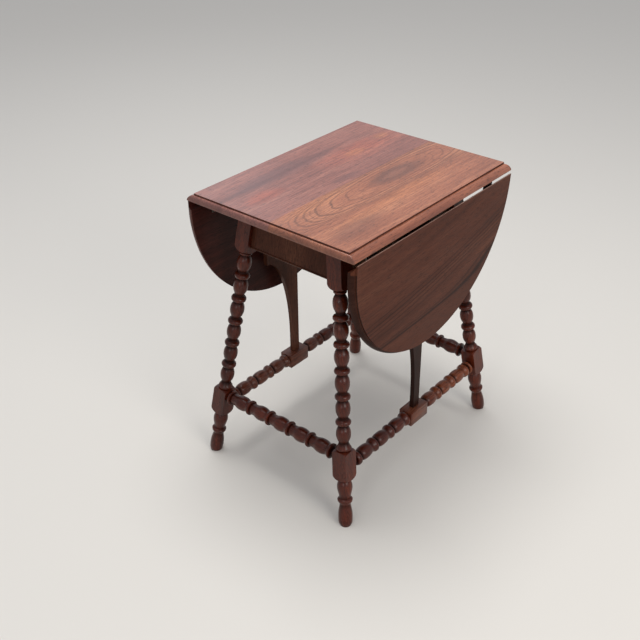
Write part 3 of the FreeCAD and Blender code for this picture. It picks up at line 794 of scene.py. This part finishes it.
def end_stations():
    """Y stations along the top, close together where the end moulding curves."""
    front = [-TOP_HALF_LENGTH + inset for inset, rise in reversed(quarter_points())]
    front.append(front[-1] + STEP_RUN)
    return front + [-y for y in reversed(front)]


def end_limit(y):
    """Height that the end moulding leaves at a station."""
    inset = TOP_HALF_LENGTH - abs(y)
    if inset > MOULD_WIDTH + STEP_RUN / 2:
        return TOP_HEIGHT
    return UNDERSIDE + MOULD_DEPTH * math.sqrt(max(0.0, 1 - (1 - inset / MOULD_WIDTH) ** 2))


def on_step(face):
    """Whether a face is part of the upright step over the moulding, and not of the glue joint."""
    middle = face.calc_center_median()
    at_end = abs(middle.y) > TOP_HALF_LENGTH - MOULD_WIDTH - 1.5 * STEP_RUN
    upright = abs(face.normal.z) < 0.1 or at_end
    over_moulding = abs(middle.z - TOP_HEIGHT + QUIRK / 2) < 1.0
    return upright and over_moulding and abs(middle.x - BOARD_JOINT) > 1.0


def top_board(side):
    """Section pushed along the top, then pressed down to the end moulding. Its step has painted shade and
    dirt.
    """
    bm = bmesh.new()
    stations = end_stations()
    front = bm.faces.new([bm.verts.new((x, stations[0], z)) for x, z in side_section(side)])
    for index, station in enumerate(stations[1:]):
        pushed = bmesh.ops.extrude_face_region(bm, geom=[front], use_keep_orig=index == 0)
        front = [item for item in pushed["geom"] if isinstance(item, bmesh.types.BMFace)][0]
        for vert in front.verts:
            vert.co.y = station
    for vert in bm.verts:
        vert.co.z = min(vert.co.z, end_limit(vert.co.y))
    for face in bm.faces:
        # Faces of the step take the finish with painted shade and dirt.
        if on_step(face):
            face.material_index = 1
    return bm


for side, x in SIDES.items():
    board = top_board(x)
    material = LEFT_BOARD if side == "left" else RIGHT_BOARD
    name = f"top_board_{side}"
    piece = finished(board, "moulded_" + name, "frame", [name], material)
    piece.data.materials.append(STEP_SHADE_AND_DIRT)
print("the top is", 2 * TOP_HALF_WIDTH, "by", 2 * TOP_HALF_LENGTH, "mm inside its moulded sides")

# %% [markdown]
# ## Leaves
#
# A leaf is drawn lying level beside the top, because that is how its moulding was cut: the same
# outline, drawn further in at each height, gives the moulded rim, and the straight edge follows the
# hollow of the rule joint. The faces of the rim take the leaf's second finish. Then the whole leaf is
# swung down about its hinge pins.

# %% Leaf outline
COVE_STEPS = 14
RIM_STEPS = 72
LEVEL_GAP = 0.3


def mould_inset(rise):
    """How far the moulding has drawn in at a height over the leaf's lower face."""
    share = min(1.0, rise / MOULD_DEPTH)
    return MOULD_WIDTH * (1 - math.sqrt(1 - share ** 2))


def edge_distance(height):
    """Distance of the straight edge from the hinge pins, at a height over them."""
    return max(LIP, math.sqrt(max(0.0, COVE ** 2 - height ** 2)))


def leaf_levels():
    """Heights over the hinge pins, each with the rim's inset and the straight edge's distance."""
    heights = [(PIN_DROP + rise, inset) for inset, rise in quarter_points()]
    heights.append((PIN_DROP + THICKNESS, MOULD_WIDTH))
    for step in range(1, COVE_STEPS):
        height = COVE * math.sin(QUARTER * step / COVE_STEPS)
        if height > PIN_DROP + LEVEL_GAP:
            heights.append((height, mould_inset(height - PIN_DROP)))
    return [(height, inset, edge_distance(height)) for height, inset in sorted(heights)]


def leaf_rim(inset, near):
    """Outline of the leaf, from the straight edge round the half oval and back."""
    half = LEAF_HALF_LENGTH - inset
    bow = LEAF_BOW - inset
    points = [(near, -half)]
    for step in range(RIM_STEPS + 1):
        turn = math.pi * step / RIM_STEPS
        points.append((LEAF_STRAIGHT + bow * math.sin(turn), -half * math.cos(turn)))
    return points + [(near, half)]


# %% Leaves
def hang(bm, side):
    """Swings what was made level with the top, on the right, down to the place where a leaf hangs."""
    swing = Matrix.Rotation(QUARTER + math.radians(LEAN[side]), 4, "Y")
    pins = Matrix.Translation((TOP_HALF_WIDTH, 0, PIN_HEIGHT))
    bmesh.ops.transform(bm, matrix=pins @ swing, verts=bm.verts)
    if side == "left":
        bmesh.ops.scale(bm, vec=(-1, 1, 1), verts=bm.verts)


def leaf_mesh(side):
    """Lower face pushed up level by level, each time drawn to the outline of its level."""
    bm = bmesh.new()
    levels = leaf_levels()
    height, inset, near = levels[0]
    cap = bm.faces.new([bm.verts.new((x, y, height)) for x, y in leaf_rim(inset, near)])
    for level, (height, inset, near) in enumerate(levels[1:]):
        pushed = bmesh.ops.extrude_face_region(bm, geom=[cap], use_keep_orig=level == 0)
        cap = [item for item in pushed["geom"] if isinstance(item, bmesh.types.BMFace)][0]
        loop = min(cap.loops, key=lambda corner: (corner.vert.co.y, corner.vert.co.x))
        rim = leaf_rim(inset, near)
        if loop.link_loop_next.vert.co.y > loop.link_loop_prev.vert.co.y + LEAF_HALF_LENGTH:
            rim = rim[:1] + rim[:0:-1]
        for x, y in rim:
            loop.vert.co = (x, y, height)
            loop = loop.link_loop_next
    bm.normal_update()
    for face in bm.faces:
        level_face = abs(face.normal.z) > 0.97
        if face.calc_center_median().x > COVE + 1.0 and not level_face:
            face.material_index = 1
    hang(bm, side)
    return bm


LEAF_WOODS = {"left": (LEFT_LEAF, LEFT_RIM), "right": (RIGHT_LEAF, RIGHT_SHADED_RIM)}
for side in SIDES:
    name = f"leaf_{side}"
    material, rim_material = LEAF_WOODS[side]
    piece = finished(leaf_mesh(side), "moulded_" + name, name, [name], material)
    piece.data.materials.append(rim_material)
print("two leaves hang from the top")

# %% [markdown]
# ## Pieces that keep the construction's shape
#
# Aprons, rails, glue blocks, supports, plates and pins already have their right shape, so they only get
# their finish.

# %% Finishes for the kept pieces
KEPT = {
    "apron_": APRON_WOOD, "rail_": RAIL_WOOD, "glue_block_": BLOCK_WOOD,
    "support_left": SUPPORT_WOOD, "support_right": SHADED_SUPPORT_WOOD,
    "hinge_": HINGE_STEEL, "pivot_pin_": SCREW_STEEL,
}
for name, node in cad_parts.items():
    for start, material in KEPT.items():
        if name.startswith(start):
            node.data.materials.clear()
            node.data.materials.append(material)
print(len(KEPT), "kinds of piece keep their shape")

# %% [markdown]
# ## Hinge screws
#
# Each hinge plate is held by three screws. One low head is made: a disc, inset for its rim, raised in
# the middle and cut across for its slot. The eight sets of three are copies of it.

# %% Screw head
SCREW_RADIUS = 3.0
DOME = ((0.5, 0.25), (0.9, 0.12))
SKIRT = 0.2
SLOT_HALF = 0.35
SLOT_DEPTH = 0.3


def screw_head():
    """Slotted head about the origin, facing up."""
    bm = bmesh.new()
    bmesh.ops.create_circle(bm, cap_ends=True, radius=SCREW_RADIUS, segments=20)
    face = bm.faces[:][0]
    if face.normal.z < 0:
        face.normal_flip()
    rim = face.edges[:]
    for width, rise in DOME:
        bmesh.ops.inset_individual(bm, faces=[face], thickness=width)
        bmesh.ops.translate(bm, vec=(0, 0, rise), verts=face.verts)
    pushed = bmesh.ops.extrude_edge_only(bm, edges=rim)
    low = [item for item in pushed["geom"] if isinstance(item, bmesh.types.BMVert)]
    bmesh.ops.translate(bm, vec=(0, 0, -SKIRT), verts=low)
    for edge in (-SLOT_HALF, SLOT_HALF):
        everything = bm.verts[:] + bm.edges[:] + bm.faces[:]
        bmesh.ops.bisect_plane(bm, geom=everything, dist=0.001, plane_co=(edge, 0, 0), plane_no=(1, 0, 0))
    tops = [face for face in bm.faces if face.normal.z > 0.5]
    slot = [face for face in tops if abs(face.calc_center_median().x) < SLOT_HALF]
    pushed = bmesh.ops.extrude_face_region(bm, geom=slot)
    low = [item for item in pushed["geom"] if isinstance(item, bmesh.types.BMVert)]
    bmesh.ops.translate(bm, vec=(0, 0, -SLOT_DEPTH), verts=low)
    mesh = bpy.data.meshes.new("screw_head")
    bm.to_mesh(mesh)
    bm.free()
    return mesh


def screw_set(head, spots):
    """Heads that face down, one at each spot."""
    bm = bmesh.new()
    for spot in spots:
        before = len(bm.verts)
        bm.from_mesh(head)
        bm.verts.ensure_lookup_table()
        place = Matrix.Translation(spot) @ Matrix.Rotation(math.pi, 4, "X")
        bmesh.ops.transform(bm, matrix=place, verts=bm.verts[before:])
    return bm


# %% Screws in place
SCREW_SINK = 0.05
PLATE_FACE = PIN_DROP - HINGE_PLATE - SCREW_SINK
TOP_SCREWS = ((-9.0, -10.5), (-22.5, 0.0), (-9.0, 10.5))
LEAF_SCREWS = ((22.0, -10.5), (33.0, 0.0), (22.0, 10.5))
head = screw_head()
for side, x in SIDES.items():
    for end, y in ENDS.items():
        height = PIN_HEIGHT + PLATE_FACE
        spots = [(x * (TOP_HALF_WIDTH + across), y * HINGE_Y + along, height)
                 for across, along in TOP_SCREWS]
        top_set = screw_set(head, spots)
        finished(top_set, f"top_screws_{side}_{end}", "frame", [], SCREW_STEEL)
        spots = [(across, y * HINGE_Y + along, PLATE_FACE) for across, along in LEAF_SCREWS]
        leaf_set = screw_set(head, spots)
        hang(leaf_set, side)
        finished(leaf_set, f"leaf_screws_{side}_{end}", f"leaf_{side}", [], SCREW_STEEL)
print("the hinges have their screws")

# %% [markdown]
# ## Camera, floor and light
#
# The camera stands where the photographer stood: a little over two metres from the table, about a third
# of the way from level to straight down. The day was bright and overcast, so all the light is soft. One
# lamp hangs over the table, and one on the right stands for the brighter part of the sky. A weak one in
# front and a very weak cool one behind, on the left, keep the shadows open.

# %% Camera
EYE = Vector((1.07893, -1.37882, 1.39982))
LOOK = Vector((-0.54783, 0.64480, -0.53302))
ROLL = math.radians(-0.545)
camera = bpy.data.objects.new("camera", bpy.data.cameras.new("camera"))
camera.data.lens = 53.03
camera.data.sensor_width = 36.0
camera.matrix_world = (Matrix.Translation(EYE) @ LOOK.to_track_quat("-Z", "Y").to_matrix().to_4x4()
                       @ Matrix.Rotation(ROLL, 4, "Z"))
bpy.context.scene.collection.objects.link(camera)
bpy.context.scene.camera = camera

# %% Floor
floor_bm = bmesh.new()
bmesh.ops.create_grid(floor_bm, x_segments=1, y_segments=1, size=9.0)
floor_mesh = bpy.data.meshes.new("floor")
floor_bm.to_mesh(floor_mesh)
floor_bm.free()
floor = bpy.data.objects.new("floor", floor_mesh)
bpy.context.scene.collection.objects.link(floor)
floor_finish = Finish("floor_paint")
floor.data.materials.append(floor_finish.surface({"Base Color": tone(214, 210, 203), "Roughness": 0.85}))


# %% Lights
def lamp(name, spot, target, size, power, colour=(1, 1, 1)):
    """Large soft lamp that faces a point."""
    data = bpy.data.lights.new(name, "AREA")
    data.shape = "DISK"
    data.size = size
    data.energy = power
    data.color = colour
    light = bpy.data.objects.new(name, data)
    light.location = spot
    light.rotation_euler = (Vector(target) - Vector(spot)).to_track_quat("-Z", "Y").to_euler()
    bpy.context.scene.collection.objects.link(light)


lamp("overhead", (-0.4, 0.1, 2.9), (0, 0, 0.4), 1.5, 40)
lamp("window", (2.9, -0.7, 1.9), (0, 0, 0.3), 1.8, 40, (1.0, 0.96, 0.91))
lamp("front", (0.9, -2.9, 1.3), (0, 0, 0.3), 0.8, 9)
lamp("skylight", (-2.4, 1.4, 2.0), (-0.1, -0.2, 0.6), 1.4, 3, (0.86, 0.92, 1.0))
world = bpy.data.worlds.new("studio")
world.use_nodes = True
world.node_tree.nodes["Background"].inputs["Color"].default_value = (0.93, 0.95, 1.0, 1.0)
world.node_tree.nodes["Background"].inputs["Strength"].default_value = 0.60
bpy.context.scene.world = world
bpy.context.scene.view_settings.view_transform = "Standard"
